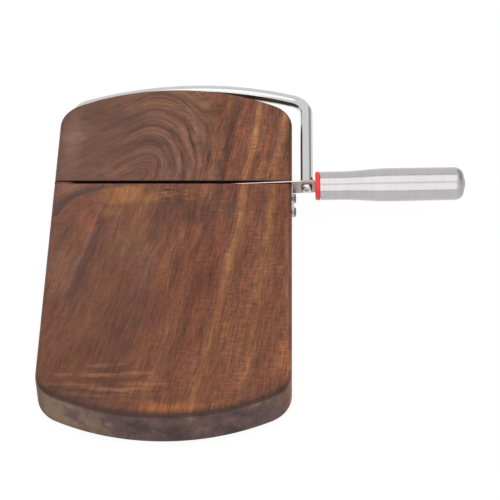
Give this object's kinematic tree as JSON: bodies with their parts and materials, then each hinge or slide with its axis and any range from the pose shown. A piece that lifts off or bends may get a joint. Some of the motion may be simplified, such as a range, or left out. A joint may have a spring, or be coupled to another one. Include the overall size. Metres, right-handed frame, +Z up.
{
  "type": "cheese slicing board",
  "caption": "Wooden cheese board with arched ends and a cross slot. A hinged steel bow with a handle carries a cutting wire down into the slot.",
  "frame": {"origin": "middle of the board's cutting surface", "axes": "+Z up, square to the cutting surface, +Y along the board towards its slotted end, +X across it towards the handle"},
  "size_m": [0.2594, 0.2901, 0.0369],
  "materials": {
    "wood": "oiled",
    "polished_steel": "polished",
    "brushed_steel": "brushed",
    "red_plastic": "satin",
    "rubber": "matte",
    "grey_plastic": "matte"
  },
  "bodies": {
    "base": {"board": "wood", "slot_key": "wood", "stop_plate": "brushed_steel", "plate_screw_front": "brushed_steel", "plate_screw_rear": "brushed_steel", "foot_front_left": "rubber", "foot_front_right": "rubber", "foot_rear_left": "rubber", "foot_rear_right": "rubber", "foot_screw_front_left": "brushed_steel", "foot_screw_front_right": "brushed_steel", "foot_screw_rear_left": "brushed_steel", "foot_screw_rear_right": "brushed_steel"},
    "bow": {"bow_rod": "polished_steel", "cutting_wire": "polished_steel", "wire_bead": "polished_steel", "handle_strip": "brushed_steel", "strip_screw": "polished_steel", "handle_collar": "red_plastic", "handle_core": "grey_plastic", "tang_pin": "brushed_steel", "handle_shell": "brushed_steel"}
  },
  "joints": [
    {"name": "bow_hinge", "type": "hinge", "parent": "base", "child": "bow", "pos_m": [-0.0655, 0.052, -0.0125], "axis": [0, -1, 0], "range_deg": [0, 45]}
  ]
}
